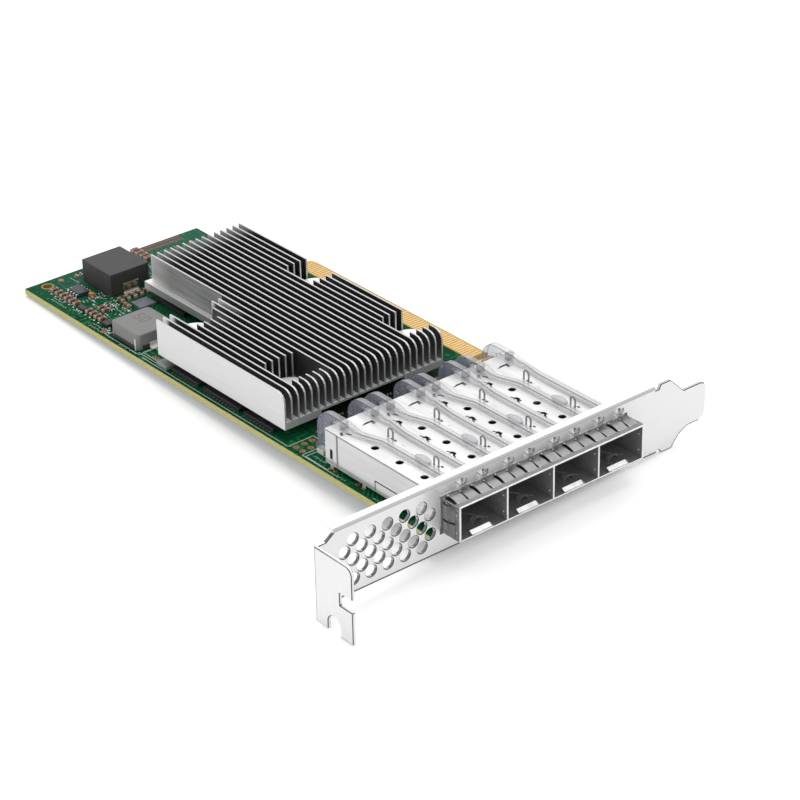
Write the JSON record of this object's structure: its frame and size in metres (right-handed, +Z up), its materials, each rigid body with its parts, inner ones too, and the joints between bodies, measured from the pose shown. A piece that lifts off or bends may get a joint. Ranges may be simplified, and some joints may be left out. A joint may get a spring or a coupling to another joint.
{
  "type": "network interface card",
  "caption": "Low-profile network card with a finned heat sink, a row of pluggable module ports with light pipes, a full-height vented bracket and a gold edge connector.",
  "frame": {"origin": "centre of the bounding box's base", "axes": "+X out of the module ports, +Y from the long plain edge towards the gold contacts, +Z up from the component face"},
  "size_m": [0.1814, 0.1202, 0.0219],
  "materials": {
    "solder_mask": "green solder mask, semi gloss",
    "gold": "gold plating",
    "brass_ring": "plated hole, dull gold",
    "copper": "bare copper pads",
    "bracket_steel": "plated steel, satin",
    "screw_steel": "plated steel",
    "sink_aluminium": "milled aluminium, satin",
    "package_green": "laminate, matt",
    "lid_metal": "nickel plated, satin",
    "soft_pad": "soft grey pad",
    "cage_metal": "bright tinned sheet",
    "spring_metal": "spring steel, satin",
    "light_white": "small light, clear gloss",
    "black_ferrite": "moulded black, matt",
    "tin": "tinned metal",
    "grey_ferrite": "moulded grey, satin",
    "grey_chip": "grey chip top, matt",
    "black_chip": "moulded black, matt",
    "capacitor_brown": "brown ceramic",
    "connector_black": "black moulding",
    "clear_plastic": "clear moulding, gloss"
  },
  "bodies": {
    "root": {"black_inductor": "black_ferrite", "black_inductor_terminals": "tin", "board_inserts": "screw_steel", "bracket": "bracket_steel", "bracket_screws": "screw_steel", "cage_cover": "cage_metal", "cage_divider_1": "cage_metal", "cage_divider_2": "cage_metal", "cage_divider_3": "cage_metal", "cage_floor": "cage_metal", "circuit_board": "solder_mask", "contacts_bottom": "gold", "contacts_top": "gold", "controller_lid": "lid_metal", "controller_package": "package_green", "crystal": "grey_chip", "dark_chip": "black_chip", "edge_chips": "black_chip", "flash_chip": "black_chip", "grey_inductor": "grey_ferrite", "grey_inductor_terminals": "tin", "header_hole_rings": "copper", "header_pads": "copper", "heat_sink": "sink_aluminium", "heat_sink_screws": "screw_steel", "large_capacitor_ends": "tin", "large_capacitors": "capacitor_brown", "leaded_chip": "black_chip", "leaded_chip_leads": "tin", "light_pipe_1": "clear_plastic", "light_pipe_2": "clear_plastic", "light_pipe_3": "clear_plastic", "light_pipe_4": "clear_plastic", "light_pipe_5": "clear_plastic", "light_pipe_6": "clear_plastic", "light_pipe_7": "clear_plastic", "light_pipe_8": "clear_plastic", "module_connector_1": "connector_black", "module_connector_2": "connector_black", "module_connector_3": "connector_black", "module_connector_4": "connector_black", "port_lights": "light_white", "power_chip": "grey_chip", "small_capacitor_ends": "tin", "small_capacitors": "capacitor_brown", "spring_strip_far": "spring_metal", "spring_strip_near": "spring_metal", "spring_strip_top": "spring_metal", "thermal_pad": "soft_pad", "tool_hole_plating": "brass_ring", "transistor": "black_chip", "transistor_leads": "tin"}
  },
  "joints": []
}
